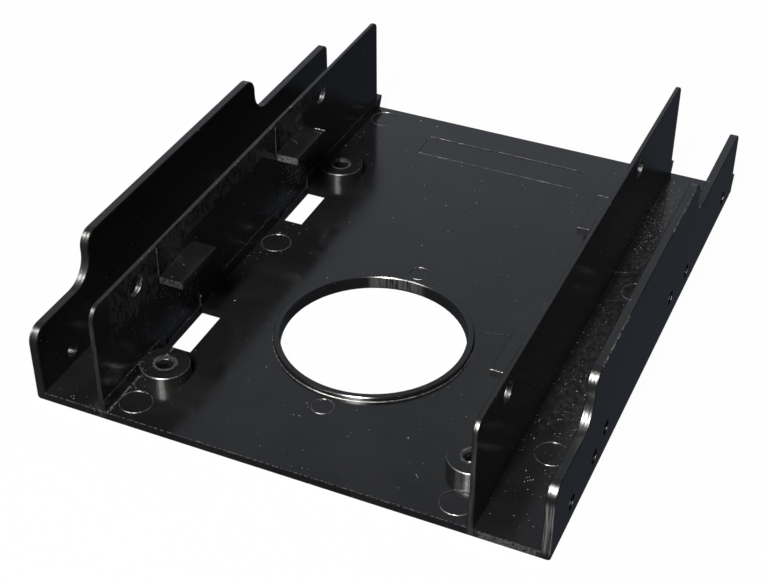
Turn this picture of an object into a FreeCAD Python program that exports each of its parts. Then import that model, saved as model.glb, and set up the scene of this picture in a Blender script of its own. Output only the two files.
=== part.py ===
import FreeCAD
import Part
import Sketcher
import operator
import os
from enum import IntEnum
from types import SimpleNamespace

# Drive bay adapter: a one-piece moulded tray that holds two small drives, one above the other,
# in a bay made for a larger drive. Millimetres. The origin is the middle of the underside, +X is
# to the right seen from the connector end, +Y runs from that front end to the rear, and +Z is up.
# Sketches measure along the tray from its front edge.

# Driving sizes, one name each, held in the document's sheet.
SIZES = {
    # floor plate
    "tray_width": 100.4,
    "floor_length": 121.4,
    "floor_thickness": 1.8,
    "base_round": 0.7,
    # mould parting plane: the tops of the bosses and wall feet, and the step in the walls' rear ends
    "parting_height": 4.4,
    "rear_flare": 1.2,
    "rear_step": 2.0,
    "rear_lean": 0.2,
    # outer walls, low at both ends and tall between two shoulders
    "outer_wall_thickness": 1.8,
    "outer_low_height": 15.8,
    "outer_rear_height": 16.0,
    "outer_tall_height": 25.2,
    "shoulder_front": 18.6,
    "shoulder_rear": 84.8,
    "shoulder_round": 3.2,
    "shoulder_hollow": 5.0,
    "outer_rear_round": 1.4,
    # inner walls, which stand either side of the drives
    "bay_width": 70.9,
    "inner_wall_thickness": 1.0,
    "inner_wall_height": 24.65,
    "inner_front_round": 2.8,
    "inner_rear_round": 1.5,
    "foot_step": 0.35,
    # tabs that carry the upper drive, and the core openings below them
    "tab_top": 17.75,
    "tab_thickness": 1.6,
    "tab_reach": 5.05,
    "tab_length": 12.7,
    "tab_centre": 28.3,
    "tab_pitch": 47.5,
    "tab_gap": 0.5,
    "relief_depth": 0.25,
    "core_face_depth": 0.1,
    # screw bosses under the lower drive
    "screw_across": 61.72,
    "screw_along": 76.6,
    "screw_first": 14.1,
    "boss_diameter": 9.5,
    "screw_hole": 3.4,
    "screw_bevel": 0.6,
    "screw_head": 6.6,
    "screw_seat": 1.6,
    # screw holes in the inner walls, above the tabs
    "drive_hole": 4.2,
    "drive_hole_rise": 3.2,
    # screw holes in the outer walls: the drive pair, the floppy pair and the end pair
    "bay_hole": 3.0,
    "drive_pair_first": 28.3,
    "drive_pair_pitch": 41.61,
    "drive_pair_height": 6.5,
    "floppy_pair_first": 22.1,
    "floppy_pair_pitch": 60.0,
    "low_pair_height": 4.8,
    "end_pair_pitch": 101.6,
    # round opening in the floor, with a raised lip
    "opening_diameter": 36.2,
    "opening_centre": 40.35,
    "lip_width": 1.3,
    "lip_height": 0.95,
    # witness marks of the mould on the floor
    "pin_mark": 6.0,
    "centre_pin_mark": 4.0,
    "centre_pin_offset": 22.6,
    "pin_mark_across": 63.4,
    "pin_mark_end_inset": 4.8,
    "channel_mark_front": 22.9,
    "channel_mark_pitch": 52.0,
    "insert_length": 37.5,
    "insert_width": 7.6,
    "insert_rear_inset": 7.7,
    "mark_depth": 0.12,
    # fine bevel of the free edges
    "edge_bevel": 0.15,
}

NODE = "adapter_tray"
NEAR = 0.001
OPERATIONS = {"+": operator.add, "-": operator.sub, "*": operator.mul, "/": operator.truediv}


class SketchAxis(IntEnum):
    """A sketch's own two axes, by the numbers that its constraints know them by."""

    LEVEL = -1
    UPRIGHT = -2


SKETCH_ORIGIN = (SketchAxis.LEVEL, 1)


class Size:
    """A length that carries its number and the sheet expression that drives it."""

    def __init__(self, number, text):
        self.number = number
        self.text = text

    def joined(self, sign, other):
        if not isinstance(other, Size):
            other = Size(other, str(other))
        number = OPERATIONS[sign](self.number, other.number)
        return Size(number, f"({self.text} {sign} {other.text})")

    def __add__(self, other):
        return self.joined("+", other)

    def __sub__(self, other):
        return self.joined("-", other)

    def __mul__(self, other):
        return self.joined("*", other)

    def __truediv__(self, other):
        return self.joined("/", other)


ZERO = Size(0.0, "0")


def make_sheet(doc):
    """Fills the document's sheet and gives each size as an attribute."""
    sheet = doc.addObject("Spreadsheet::Sheet", "Sizes")
    for row, (alias, number) in enumerate(SIZES.items(), start=1):
        sheet.set(f"A{row}", alias)
        sheet.set(f"B{row}", str(number))
        sheet.setAlias(f"B{row}", alias)
    doc.recompute()
    return SimpleNamespace(**{alias: Size(number, f"Sizes.{alias}") for alias, number in SIZES.items()})


def origin_plane(body, role):
    """Finds one of the body's own origin planes."""
    return next(plane for plane in body.Origin.OriginFeatures if plane.Role == role)


def new_sketch(body, name, role, offset):
    """Adds a sketch on an origin plane, its origin shifted along the plane's two axes and normal."""
    sketch = body.newObject("Sketcher::SketchObject", name)
    sketch.AttachmentSupport = [(origin_plane(body, role), "")]
    sketch.MapMode = "FlatFace"
    for axis, shift in zip("xyz", offset):
        sketch.setExpression(f"AttachmentOffset.Base.{axis}", shift.text)
    return sketch


def dimension(sketch, kind, where, size):
    """Adds one dimension that follows a size of the sheet."""
    index = sketch.addConstraint(Sketcher.Constraint(kind, *where, size.number))
    sketch.setExpression(f"Constraints[{index}]", size.text)


def place(sketch, element, end, x, y):
    """Dimensions a point from the sketch's origin, or puts it on an axis where a size is zero."""
    for kind, axis, size in (("DistanceX", SketchAxis.UPRIGHT, x), ("DistanceY", SketchAxis.LEVEL, y)):
        if size is ZERO:
            sketch.addConstraint(Sketcher.Constraint("PointOnObject", element, end, axis))
        else:
            dimension(sketch, kind, (*SKETCH_ORIGIN, element, end), size)


def polygon(sketch, corners):
    """Draws a closed run of straight lines through the corners."""
    spots = [FreeCAD.Vector(x.number, y.number, 0) for x, y in corners]
    ends = spots[1:] + spots[:1]
    lines = [sketch.addGeometry(Part.LineSegment(start, end)) for start, end in zip(spots, ends)]
    for line, following in zip(lines, lines[1:] + lines[:1]):
        sketch.addConstraint(Sketcher.Constraint("Coincident", line, 2, following, 1))
    for line, (x, y) in zip(lines, corners):
        place(sketch, line, 1, x, y)


def rectangle(sketch, x_low, y_low, x_high, y_high):
    """Draws a rectangle between two corners."""
    polygon(sketch, [(x_low, y_low), (x_high, y_low), (x_high, y_high), (x_low, y_high)])


def circle(sketch, x, y, diameter):
    """Draws a circle with its centre and diameter dimensioned."""
    centre = FreeCAD.Vector(x.number, y.number, 0)
    ring = sketch.addGeometry(Part.Circle(centre, FreeCAD.Vector(0, 0, 1), diameter.number / 2))
    place(sketch, ring, 3, x, y)
    dimension(sketch, "Diameter", (ring,), diameter)


def extrude(body, kind, name, sketch, length, against=False):
    """Pads or pockets a sketch, by a length or, where none is given, through everything."""
    feature = body.newObject(f"PartDesign::{kind}", name)
    feature.Profile = sketch
    feature.Reversed = against
    if length is None:
        feature.Type = "ThroughAll"
    else:
        feature.setExpression("Length", length.text)
    body.Document.recompute()
    return feature


def mirror(body, name, originals):
    """Repeats features on the other side of the tray's middle plane."""
    feature = body.newObject("PartDesign::Mirrored", name)
    feature.Originals = originals
    feature.MirrorPlane = (origin_plane(body, "YZ_Plane"), [""])
    body.Tip = feature
    body.Document.recompute()
    return feature


def edge_names(body, wanted):
    """Names the edges of the body that pass a test."""
    edges = body.Tip.Shape.Edges
    return [f"Edge{number}" for number, edge in enumerate(edges, start=1) if wanted(edge)]


def dress(body, kind, name, wanted, size):
    """Rounds or bevels the edges that pass a test."""
    base = body.Tip
    names = edge_names(body, wanted)
    feature = body.newObject(f"PartDesign::{kind}", name)
    feature.Base = (base, names)
    feature.setExpression("Radius" if kind == "Fillet" else "Size", size.text)
    body.Document.recompute()
    return feature


def near(first, second):
    return abs(first - second) < NEAR


def runs_along(edge, axis):
    """Tells whether an edge is straight and parallel to an axis, x, y or z."""
    if edge.Curve.TypeId != "Part::GeomLine":
        return False
    return near(abs(getattr(edge.Curve.Direction, axis)), 1)


def corner_test(spots):
    """Tests for edges across the tray at given places along it, each a pair of y and height."""

    def wanted(edge):
        middle = edge.CenterOfMass
        return runs_along(edge, "x") and any(near(middle.y, y) and near(middle.z, z) for y, z in spots)

    return wanted


def rim_test(diameter, height):
    """Tests for round edges of one diameter at one height."""

    def wanted(edge):
        round_edge = edge.Curve.TypeId == "Part::GeomCircle"
        return round_edge and near(edge.Curve.Radius, diameter / 2) and near(edge.CenterOfMass.z, height)

    return wanted


def front_edge(size):
    """Gives the place of the tray's front edge, with the origin at the middle of its overall length."""
    return ZERO - (size.floor_length + size.rear_flare) / 2


def rear_end(size):
    """Gives the corners of a wall's rear end, from the underside up to the parting plane's step."""
    far = size.floor_length + size.rear_flare
    return [
        (size.floor_length, ZERO),
        (size.floor_length, size.floor_thickness),
        (far, size.parting_height),
        (far - size.rear_step, size.parting_height),
    ]


def wall_rear(size):
    """Gives the place of a wall's rear edge at its top."""
    return size.floor_length + size.rear_flare - size.rear_step - size.rear_lean


def add_floor(body, size):
    """Pads the plate."""
    corner = (ZERO - size.tray_width / 2, front_edge(size), ZERO)
    sketch = new_sketch(body, "floor_outline", "XY_Plane", corner)
    rectangle(sketch, ZERO, ZERO, size.tray_width, size.floor_length)
    extrude(body, "Pad", "floor_plate", sketch, size.floor_thickness)


def add_outer_wall(body, size):
    """Pads one outer wall inwards from the tray's side."""
    front = front_edge(size)
    sketch = new_sketch(body, "outer_wall_profile", "YZ_Plane", (front, ZERO, size.tray_width / 2))
    polygon(sketch, [
        (ZERO, ZERO),
        *rear_end(size),
        (wall_rear(size), size.outer_rear_height),
        (size.shoulder_rear, size.outer_rear_height),
        (size.shoulder_rear, size.outer_tall_height),
        (size.shoulder_front, size.outer_tall_height),
        (size.shoulder_front, size.outer_low_height),
        (ZERO, size.outer_low_height),
    ])
    return extrude(body, "Pad", "outer_wall", sketch, size.outer_wall_thickness, against=True)


def add_inner_wall(body, size):
    """Pads one inner wall outwards from the drives' side."""
    front = front_edge(size)
    sketch = new_sketch(body, "inner_wall_profile", "YZ_Plane", (front, ZERO, size.bay_width / 2))
    polygon(sketch, [
        (ZERO, ZERO),
        *rear_end(size),
        (wall_rear(size), size.inner_wall_height),
        (ZERO, size.inner_wall_height),
    ])
    return extrude(body, "Pad", "inner_wall", sketch, size.inner_wall_thickness)


def core_spans(size):
    """Gives where each core opening starts and ends along the tray."""
    reach = size.tab_length / 2 + size.tab_gap
    centres = (size.tab_centre, size.tab_centre + size.tab_pitch)
    return [(centre - reach, centre + reach) for centre in centres]


def add_wall_foot(body, size):
    """Thickens the foot of an inner wall up to the parting plane, except at the core openings."""
    front = front_edge(size)
    sketch = new_sketch(body, "wall_foot_profile", "YZ_Plane", (front, ZERO, size.bay_width / 2))
    (first_start, first_end), (last_start, last_end) = core_spans(size)
    for start, end in ((ZERO, first_start), (first_end, last_start)):
        rectangle(sketch, start, ZERO, end, size.parting_height)
    *slanted_end, _ = rear_end(size)
    polygon(sketch, [(last_end, ZERO), *slanted_end, (last_end, size.parting_height)])
    return extrude(body, "Pad", "wall_foot", sketch, size.foot_step, against=True)


def screw_rows(size):
    """Gives the two places along the tray where the drives' screws are."""
    return (size.screw_first, size.screw_first + size.screw_along)


def add_bosses(body, size):
    """Pads the screw bosses and bevels their rims."""
    front = front_edge(size)
    sketch = new_sketch(body, "boss_outline", "XY_Plane", (ZERO, front, ZERO))
    for along in screw_rows(size):
        circle(sketch, size.screw_across / 2, along, size.boss_diameter)
    bosses = extrude(body, "Pad", "bosses", sketch, size.parting_height)
    mirror(body, "other_bosses", [bosses])
    rims = rim_test(size.boss_diameter.number, size.parting_height.number)
    dress(body, "Chamfer", "boss_rims", rims, size.edge_bevel)


def tab_spans(size):
    """Gives where each tab starts and ends along the tray."""
    centres = (size.tab_centre, size.tab_centre + size.tab_pitch)
    return [(centre - size.tab_length / 2, centre + size.tab_length / 2) for centre in centres]


def add_tabs(body, size):
    """Pads the two tabs of one side, rooted in the middle of the inner wall."""
    front = front_edge(size)
    sketch = new_sketch(body, "tab_outline", "XY_Plane", (ZERO, front, size.tab_top - size.tab_thickness))
    face = size.bay_width / 2
    for start, end in tab_spans(size):
        rectangle(sketch, face - size.tab_reach, start, face + size.inner_wall_thickness / 2, end)
    return extrude(body, "Pad", "tabs", sketch, size.tab_thickness)


def add_lip(body, size):
    """Pads the disc that becomes the raised lip of the round opening."""
    front = front_edge(size)
    sketch = new_sketch(body, "lip_outline", "XY_Plane", (ZERO, front, ZERO))
    circle(sketch, ZERO, size.opening_centre, size.opening_diameter + size.lip_width * 2)
    extrude(body, "Pad", "opening_lip", sketch, size.floor_thickness + size.lip_height)


def round_walls(body, size):
    """Rounds the corners of the wall profiles and the long bottom edges."""
    front = front_edge(size).number
    rear = front + wall_rear(size).number
    tall, low = size.outer_tall_height.number, size.outer_low_height.number
    rear_low = size.outer_rear_height.number
    front_riser = front + size.shoulder_front.number
    rear_riser = front + size.shoulder_rear.number
    shoulders = [(front, low), (front_riser, tall), (rear_riser, tall)]
    dress(body, "Fillet", "shoulder_rounds", corner_test(shoulders), size.shoulder_round)
    hollows = [(front_riser, low), (rear_riser, rear_low)]
    dress(body, "Fillet", "shoulder_hollows", corner_test(hollows), size.shoulder_hollow)
    dress(body, "Fillet", "outer_rear_rounds", corner_test([(rear, rear_low)]), size.outer_rear_round)
    inner = size.inner_wall_height.number
    dress(body, "Fillet", "inner_front_rounds", corner_test([(front, inner)]), size.inner_front_round)
    dress(body, "Fillet", "inner_rear_rounds", corner_test([(rear, inner)]), size.inner_rear_round)

    def base_edge(edge):
        middle = edge.CenterOfMass
        side = near(abs(middle.x), size.tray_width.number / 2)
        return runs_along(edge, "y") and side and near(middle.z, 0)

    dress(body, "Fillet", "base_rounds", base_edge, size.base_round)


def cut_opening(body, size):
    """Cuts the round opening through the floor and its lip."""
    front = front_edge(size)
    sketch = new_sketch(body, "opening_outline", "XY_Plane", (ZERO, front, ZERO))
    circle(sketch, ZERO, size.opening_centre, size.opening_diameter)
    extrude(body, "Pocket", "round_opening", sketch, None, against=True)


def bevel_lip_and_tabs(body, size):
    """Bevels the rims of the lip and the free edges of the tabs."""
    parting = size.parting_height.number
    lip_top = size.floor_thickness.number + size.lip_height.number
    lip_outside = size.opening_diameter.number + 2 * size.lip_width.number
    lip_rims = (rim_test(size.opening_diameter.number, lip_top), rim_test(lip_outside, lip_top))
    tip = size.bay_width.number / 2 - size.tab_reach.number

    def tab_edge(edge):
        middle = edge.CenterOfMass
        return runs_along(edge, "y") and near(abs(middle.x), tip) and middle.z > parting

    def free_edge(edge):
        return any(test(edge) for test in (*lip_rims, tab_edge))

    dress(body, "Chamfer", "lip_and_tab_edges", free_edge, size.edge_bevel)


def bevel_walls(body, size):
    """Bevels the rims of the walls, each run from its straight top round to both ends."""
    outside = size.tray_width.number / 2
    inside = size.bay_width.number / 2
    tall, inner = size.outer_tall_height.number, size.inner_wall_height.number
    tops = (
        (outside, tall),
        (outside - size.outer_wall_thickness.number, tall),
        (inside + size.inner_wall_thickness.number, inner),
        (inside, inner),
    )

    def top_edge(edge):
        middle = edge.CenterOfMass
        return runs_along(edge, "y") and any(near(abs(middle.x), x) and near(middle.z, z) for x, z in tops)

    dress(body, "Chamfer", "wall_rims", top_edge, size.edge_bevel)


def cut_core_openings(body, size):
    """Cuts the floor openings below the tabs of one side."""
    front = front_edge(size)
    sketch = new_sketch(body, "core_outline", "XY_Plane", (ZERO, front, ZERO))
    face = size.bay_width / 2
    for start, end in core_spans(size):
        rectangle(sketch, face - size.tab_reach - size.tab_gap, start, face - size.foot_step, end)
    return extrude(body, "Pocket", "core_openings", sketch, size.floor_thickness, against=True)


def cut_reliefs(body, size):
    """Cuts the shallow relief in the inner wall above each tab of one side."""
    front = front_edge(size)
    sketch = new_sketch(body, "relief_outline", "YZ_Plane", (front, ZERO, size.bay_width / 2))
    for start, end in tab_spans(size):
        rectangle(sketch, start, size.tab_top, end, size.inner_wall_height)
    return extrude(body, "Pocket", "tab_reliefs", sketch, size.relief_depth, against=True)


def cut_core_faces(body, size):
    """Cuts the slight step in the inner wall of one side where each core closed off below its tab."""
    front = front_edge(size)
    sketch = new_sketch(body, "core_face_outline", "YZ_Plane", (front, ZERO, size.bay_width / 2))
    for start, end in core_spans(size):
        rectangle(sketch, start, size.floor_thickness, end, size.tab_top - size.tab_thickness)
    return extrude(body, "Pocket", "core_faces", sketch, size.core_face_depth, against=True)


def cut_drive_holes(body, size):
    """Cuts the upper drive's screw holes through one inner wall."""
    front = front_edge(size)
    sketch = new_sketch(body, "drive_hole_outline", "YZ_Plane", (front, ZERO, size.bay_width / 2))
    for along in screw_rows(size):
        circle(sketch, along, size.tab_top + size.drive_hole_rise, size.drive_hole)
    return extrude(body, "Pocket", "drive_holes", sketch, size.inner_wall_thickness, against=True)


def cut_bay_holes(body, size):
    """Cuts the bay's screw holes through one outer wall."""
    front = front_edge(size)
    sketch = new_sketch(body, "bay_hole_outline", "YZ_Plane", (front, ZERO, size.tray_width / 2))
    end_first = (size.floor_length - size.end_pair_pitch) / 2
    pairs = (
        (size.drive_pair_first, size.drive_pair_first + size.drive_pair_pitch, size.drive_pair_height),
        (size.floppy_pair_first, size.floppy_pair_first + size.floppy_pair_pitch, size.low_pair_height),
        (end_first, end_first + size.end_pair_pitch, size.low_pair_height),
    )
    for first, last, height in pairs:
        circle(sketch, first, height, size.bay_hole)
        circle(sketch, last, height, size.bay_hole)
    return extrude(body, "Pocket", "bay_holes", sketch, size.outer_wall_thickness)


def cut_pin_marks(body, size):
    """Cuts the ejector pin marks of one side."""
    front = front_edge(size)
    sketch = new_sketch(body, "pin_mark_outline", "XY_Plane", (ZERO, front, size.floor_thickness))
    middle_row = size.floor_length / 2
    for along in (size.pin_mark_end_inset, middle_row, size.floor_length - size.pin_mark_end_inset):
        circle(sketch, size.pin_mark_across / 2, along, size.pin_mark)
    channel_inside = size.bay_width / 2 + size.inner_wall_thickness
    channel_outside = size.tray_width / 2 - size.outer_wall_thickness
    for along in (size.channel_mark_front, size.channel_mark_front + size.channel_mark_pitch):
        circle(sketch, (channel_inside + channel_outside) / 2, along, size.pin_mark)
    return extrude(body, "Pocket", "pin_marks", sketch, size.mark_depth)


def cut_middle_marks(body, size):
    """Cuts the pin marks beside the round opening and the shallow panel of the mould insert."""
    front = front_edge(size)
    sketch = new_sketch(body, "centre_mark_outline", "XY_Plane", (ZERO, front, size.floor_thickness))
    for along in (size.opening_centre - size.centre_pin_offset, size.opening_centre + size.centre_pin_offset):
        circle(sketch, ZERO, along, size.centre_pin_mark)
    extrude(body, "Pocket", "centre_pin_marks", sketch, size.mark_depth)
    corner = (ZERO - size.insert_length / 2, front, size.floor_thickness)
    sketch = new_sketch(body, "insert_outline", "XY_Plane", corner)
    far = size.floor_length - size.insert_rear_inset
    rectangle(sketch, ZERO, far - size.insert_width, size.insert_length, far)
    extrude(body, "Pocket", "insert_mark", sketch, size.mark_depth)


def drill_bosses(body, size):
    """Drills the bosses from below, with a seat for the screw heads and a bevelled mouth."""
    front = front_edge(size)
    sketch = new_sketch(body, "boss_screw_outline", "XY_Plane", (ZERO, front, ZERO))
    for along in screw_rows(size):
        circle(sketch, size.screw_across / 2, along, size.screw_hole)
    drilled = extrude(body, "Pocket", "boss_screw_holes", sketch, size.parting_height, against=True)
    sketch = new_sketch(body, "screw_head_outline", "XY_Plane", (ZERO, front, ZERO))
    for along in screw_rows(size):
        circle(sketch, size.screw_across / 2, along, size.screw_head)
    depth = size.parting_height - size.screw_seat
    return [drilled, extrude(body, "Pocket", "screw_head_seats", sketch, depth, against=True)]


def check(doc, body):
    """Stops unless every object is sound, every feature changed the solid and one solid is left."""
    for item in doc.Objects:
        if {"Invalid", "Error"} & set(item.State):
            raise RuntimeError(f"{item.Name}: {item.State}")
    solids = [item for item in body.Group if not item.isDerivedFrom("Sketcher::SketchObject")]
    for before, after in zip(solids, solids[1:]):
        if abs(after.Shape.Volume - before.Shape.Volume) < NEAR:
            raise RuntimeError(f"{after.Name} changed nothing")
    shape = body.Shape
    if shape.isNull() or not shape.isValid() or len(shape.Solids) != 1:
        raise RuntimeError("the tray is not one sound solid")


def main():
    doc = FreeCAD.newDocument("drive_bay_adapter")
    size = make_sheet(doc)
    body = doc.addObject("PartDesign::Body", "Tray")
    body.Label = NODE
    add_floor(body, size)
    add_bosses(body, size)
    raised = [add(body, size) for add in (add_outer_wall, add_inner_wall, add_wall_foot, add_tabs)]
    mirror(body, "other_side", raised)
    add_lip(body, size)
    round_walls(body, size)
    bevel_walls(body, size)
    cut_opening(body, size)
    bevel_lip_and_tabs(body, size)
    through = (cut_core_openings, cut_drive_holes, cut_bay_holes)
    shallow = (cut_reliefs, cut_core_faces, cut_pin_marks)
    cuts = [cut(body, size) for cut in through + shallow]
    mirror(body, "other_side_cuts", cuts + drill_bosses(body, size))
    cut_middle_marks(body, size)
    mouths = rim_test(size.screw_hole.number, size.parting_height.number)
    dress(body, "Chamfer", "screw_mouths", mouths, size.screw_bevel)
    doc.recompute()
    check(doc, body)
    os.makedirs("parts", exist_ok=True)
    body.Shape.exportStep(f"parts/{body.Label}.step")
    box = body.Shape.BoundBox
    print(f"{body.Label}: {box.XLength:.2f} x {box.YLength:.2f} x {box.ZLength:.2f} mm")
    print(f"volume {body.Shape.Volume:.1f} mm3, {len(body.Shape.Faces)} faces")


main()
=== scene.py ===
"""Looks of a drive bay adapter: a one-piece tray of glossy black moulded plastic on a white table."""

import logging
import math
from dataclasses import dataclass
from enum import Enum

import bpy
from mathutils import Matrix


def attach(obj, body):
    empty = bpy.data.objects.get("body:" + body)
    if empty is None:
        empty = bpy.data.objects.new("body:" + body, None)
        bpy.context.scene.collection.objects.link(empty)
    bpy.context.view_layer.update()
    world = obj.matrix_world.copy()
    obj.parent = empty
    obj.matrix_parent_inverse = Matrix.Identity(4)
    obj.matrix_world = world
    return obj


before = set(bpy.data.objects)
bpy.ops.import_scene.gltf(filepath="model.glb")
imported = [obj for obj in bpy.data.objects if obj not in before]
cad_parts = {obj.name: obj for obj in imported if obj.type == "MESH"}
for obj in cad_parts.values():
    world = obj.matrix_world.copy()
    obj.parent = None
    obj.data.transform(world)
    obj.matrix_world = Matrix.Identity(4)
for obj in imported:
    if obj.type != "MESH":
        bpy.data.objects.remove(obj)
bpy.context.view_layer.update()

LOG = logging.getLogger("drive_bay_adapter")
BODY = "root"
TRAY_NODE = "adapter_tray"
MM_PER_METRE = 1000.0
MM = 0.001
QUARTER_TURN = 90.0

Pair = tuple[float, float]
Triple = tuple[float, float, float]
Shade = tuple[float, float, float, float]
Section = tuple[Pair, Pair, Pair]
Wire = bpy.types.NodeSocket

ORIGIN: Triple = (0.0, 0.0, 0.0)
NOISE_MIDDLE: Triple = (0.5, 0.5, 0.5)

# Places on the tray, in millimetres, that its marks and its flash share
FRONT = -61.3
FLOOR = 1.8
BAY_FACE = 35.45
LEFT_FACE = -BAY_FACE
TAB_TOP = 17.75
BOSS_TOP = 4.4
BOSS_ACROSS = 30.86
BOSS_ALONG: Pair = (-47.2, 29.4)
OPENING_ALONG = -20.95


class SocketKind(Enum):
    """Kinds of socket that the effect groups have."""

    VALUE = "NodeSocketFloat"
    VECTOR = "NodeSocketVector"


class Side(Enum):
    """The two sides of the tray, as signs of X."""

    LEFT = -1.0
    RIGHT = 1.0


class Streak(Enum):
    """Grains of a rubbed or frosted area, as waves per millimetre along X, Y and Z."""

    UPRIGHT = (4.0, 0.5, 0.16)
    FROSTED = (3.6, 3.6, 3.6)
    MOTTLED = (0.9, 0.75, 0.55)


class Facing(Enum):
    """Ways in which a face that is rubbed or frosted looks."""

    ANY = "any"
    FRONT = "front"
    SIDE = "side"


class Wiring:
    """Places shader nodes in one node tree and joins their sockets."""

    def __init__(self, tree: bpy.types.NodeTree) -> None:
        """Keep the tree that the nodes go into."""
        self.tree = tree

    def place(self, kind: str, **settings: object) -> bpy.types.Node:
        """Add a node to the tree.

        Args:
            kind: Blender's name for the node's type.
            settings: the node's own properties, such as its operation.

        Returns:
            The new node.
        """
        node = self.tree.nodes.new(kind)
        for name, value in settings.items():
            setattr(node, name, value)
        return node

    def feed(self, socket: Wire, value: object) -> None:
        """Join a wire to a socket, or set the socket's own value.

        Args:
            socket: the input that is fed.
            value: a wire, or the plain value.
        """
        if isinstance(value, bpy.types.NodeSocket):
            self.tree.links.new(value, socket)
        else:
            socket.default_value = value

    def number(self, operation: str, *values: object, clamp: bool = False) -> Wire:
        """Work out a number with a Math node.

        Args:
            operation: the Math node's operation.
            values: wires or plain numbers, in the order of the node's inputs.
            clamp: whether the result is held between 0 and 1.

        Returns:
            The wire that carries the result.
        """
        node = self.place("ShaderNodeMath", operation=operation, use_clamp=clamp)
        for socket, value in zip(node.inputs, values):
            self.feed(socket, value)
        return node.outputs[0]

    def vector(self, operation: str, *values: object) -> Wire:
        """Work out a vector, a length or a dot product with a Vector Math node.

        Args:
            operation: the Vector Math node's operation.
            values: wires or plain triples, in the order of the node's inputs.

        Returns:
            The wire that carries the result.
        """
        node = self.place("ShaderNodeVectorMath", operation=operation)
        sockets = [node.inputs[0], node.inputs["Scale"]] if operation == "SCALE" else node.inputs
        for socket, value in zip(sockets, values):
            self.feed(socket, value)
        gives_number = operation in {"DOT_PRODUCT", "LENGTH", "DISTANCE"}
        return node.outputs["Value" if gives_number else "Vector"]

    def split(self, vector: Wire) -> tuple[Wire, Wire, Wire]:
        """Take a vector apart.

        Args:
            vector: wire of the vector.

        Returns:
            The wires of its three numbers.
        """
        node = self.place("ShaderNodeSeparateXYZ")
        self.feed(node.inputs[0], vector)
        return node.outputs[0], node.outputs[1], node.outputs[2]

    def length(self, first: object, second: object) -> Wire:
        """Work out how long a flat offset is.

        Args:
            first: wire or number of the offset along one axis.
            second: wire or number of the offset along the other.

        Returns:
            The wire that carries the length.
        """
        node = self.place("ShaderNodeCombineXYZ")
        self.feed(node.inputs[0], first)
        self.feed(node.inputs[1], second)
        return self.vector("LENGTH", node.outputs[0])

    def step(self, value: object, start: object, end: object) -> Wire:
        """Make a smooth step from 0 to 1.

        Args:
            value: wire or number that the step follows.
            start: the value at which the step is 0.
            end: the value at which it is 1.

        Returns:
            The wire that carries the step.
        """
        node = self.place("ShaderNodeMapRange", interpolation_type="SMOOTHSTEP")
        self.feed(node.inputs["Value"], value)
        self.feed(node.inputs["From Min"], start)
        self.feed(node.inputs["From Max"], end)
        return node.outputs["Result"]

    def fade(self, value: object, start: object, end: object, full: object = 1.0) -> Wire:
        """Make a smooth step down to 0.

        Args:
            value: wire or number that the step follows.
            start: the value at which the step is full.
            end: the value at which it is 0.
            full: how high the step starts.

        Returns:
            The wire that carries the step.
        """
        result = self.step(value, start, end)
        self.feed(result.node.inputs["To Min"], full)
        self.feed(result.node.inputs["To Max"], 0.0)
        return result

    def band(self, value: object, low: float, high: float, soft: float) -> Wire:
        """Give 1 where a value is between two limits, with soft edges outside them."""
        above = self.step(value, low - soft, low)
        return self.number("MULTIPLY", above, self.fade(value, high, high + soft))

    def gather(self, operation: str, values: tuple[object, ...]) -> Wire:
        """Take numbers together, two at a time.

        Args:
            operation: the Math node's operation.
            values: wires or plain numbers, at least two.

        Returns:
            The wire that carries the result.
        """
        result = values[0]
        for value in values[1:]:
            result = self.number(operation, result, value)
        return result

    def every(self, *masks: object) -> Wire:
        """Multiply masks together."""
        return self.gather("MULTIPLY", masks)

    def any(self, *masks: object) -> Wire:
        """Give the strongest of several masks."""
        return self.gather("MAXIMUM", masks)

    def total(self, *values: object) -> Wire:
        """Add numbers up."""
        return self.gather("ADD", values)

    def mix(self, share: object, first: object, second: object) -> Wire:
        """Mix two numbers by a share.

        Args:
            share: wire or number, 0 for the first number and 1 for the second.
            first: wire or number.
            second: wire or number.

        Returns:
            The wire that carries the mixed number.
        """
        node = self.place("ShaderNodeMix", data_type="FLOAT")
        self.feed(node.inputs[0], share)
        self.feed(node.inputs[2], first)
        self.feed(node.inputs[3], second)
        return node.outputs[0]

    def blend(self, share: object, first: object, second: object) -> Wire:
        """Mix two colours by a share.

        Args:
            share: wire or number, 0 for the first colour and 1 for the second.
            first: wire or colour.
            second: wire or colour.

        Returns:
            The wire that carries the mixed colour.
        """
        node = self.place("ShaderNodeMix", data_type="RGBA")
        colours = [socket for socket in node.inputs if socket.type == "RGBA"]
        self.feed(node.inputs[0], share)
        self.feed(colours[0], first)
        self.feed(colours[1], second)
        return next(socket for socket in node.outputs if socket.type == "RGBA")

    def grain(self, point: Wire, scale: object, detail: float = 2.0, distortion: float = 0.0) -> Wire:
        """Give noise between about 0 and 1 at a point.

        Args:
            point: wire of the place, in millimetres.
            scale: how many waves fit in a millimetre.
            detail: how many finer layers are added.
            distortion: how far the waves are pulled out of shape.

        Returns:
            The wire that carries the noise.
        """
        node = self.place("ShaderNodeTexNoise")
        self.feed(node.inputs["Vector"], point)
        self.feed(node.inputs["Scale"], scale)
        self.feed(node.inputs["Detail"], detail)
        self.feed(node.inputs["Distortion"], distortion)
        return node.outputs["Fac"]

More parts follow.
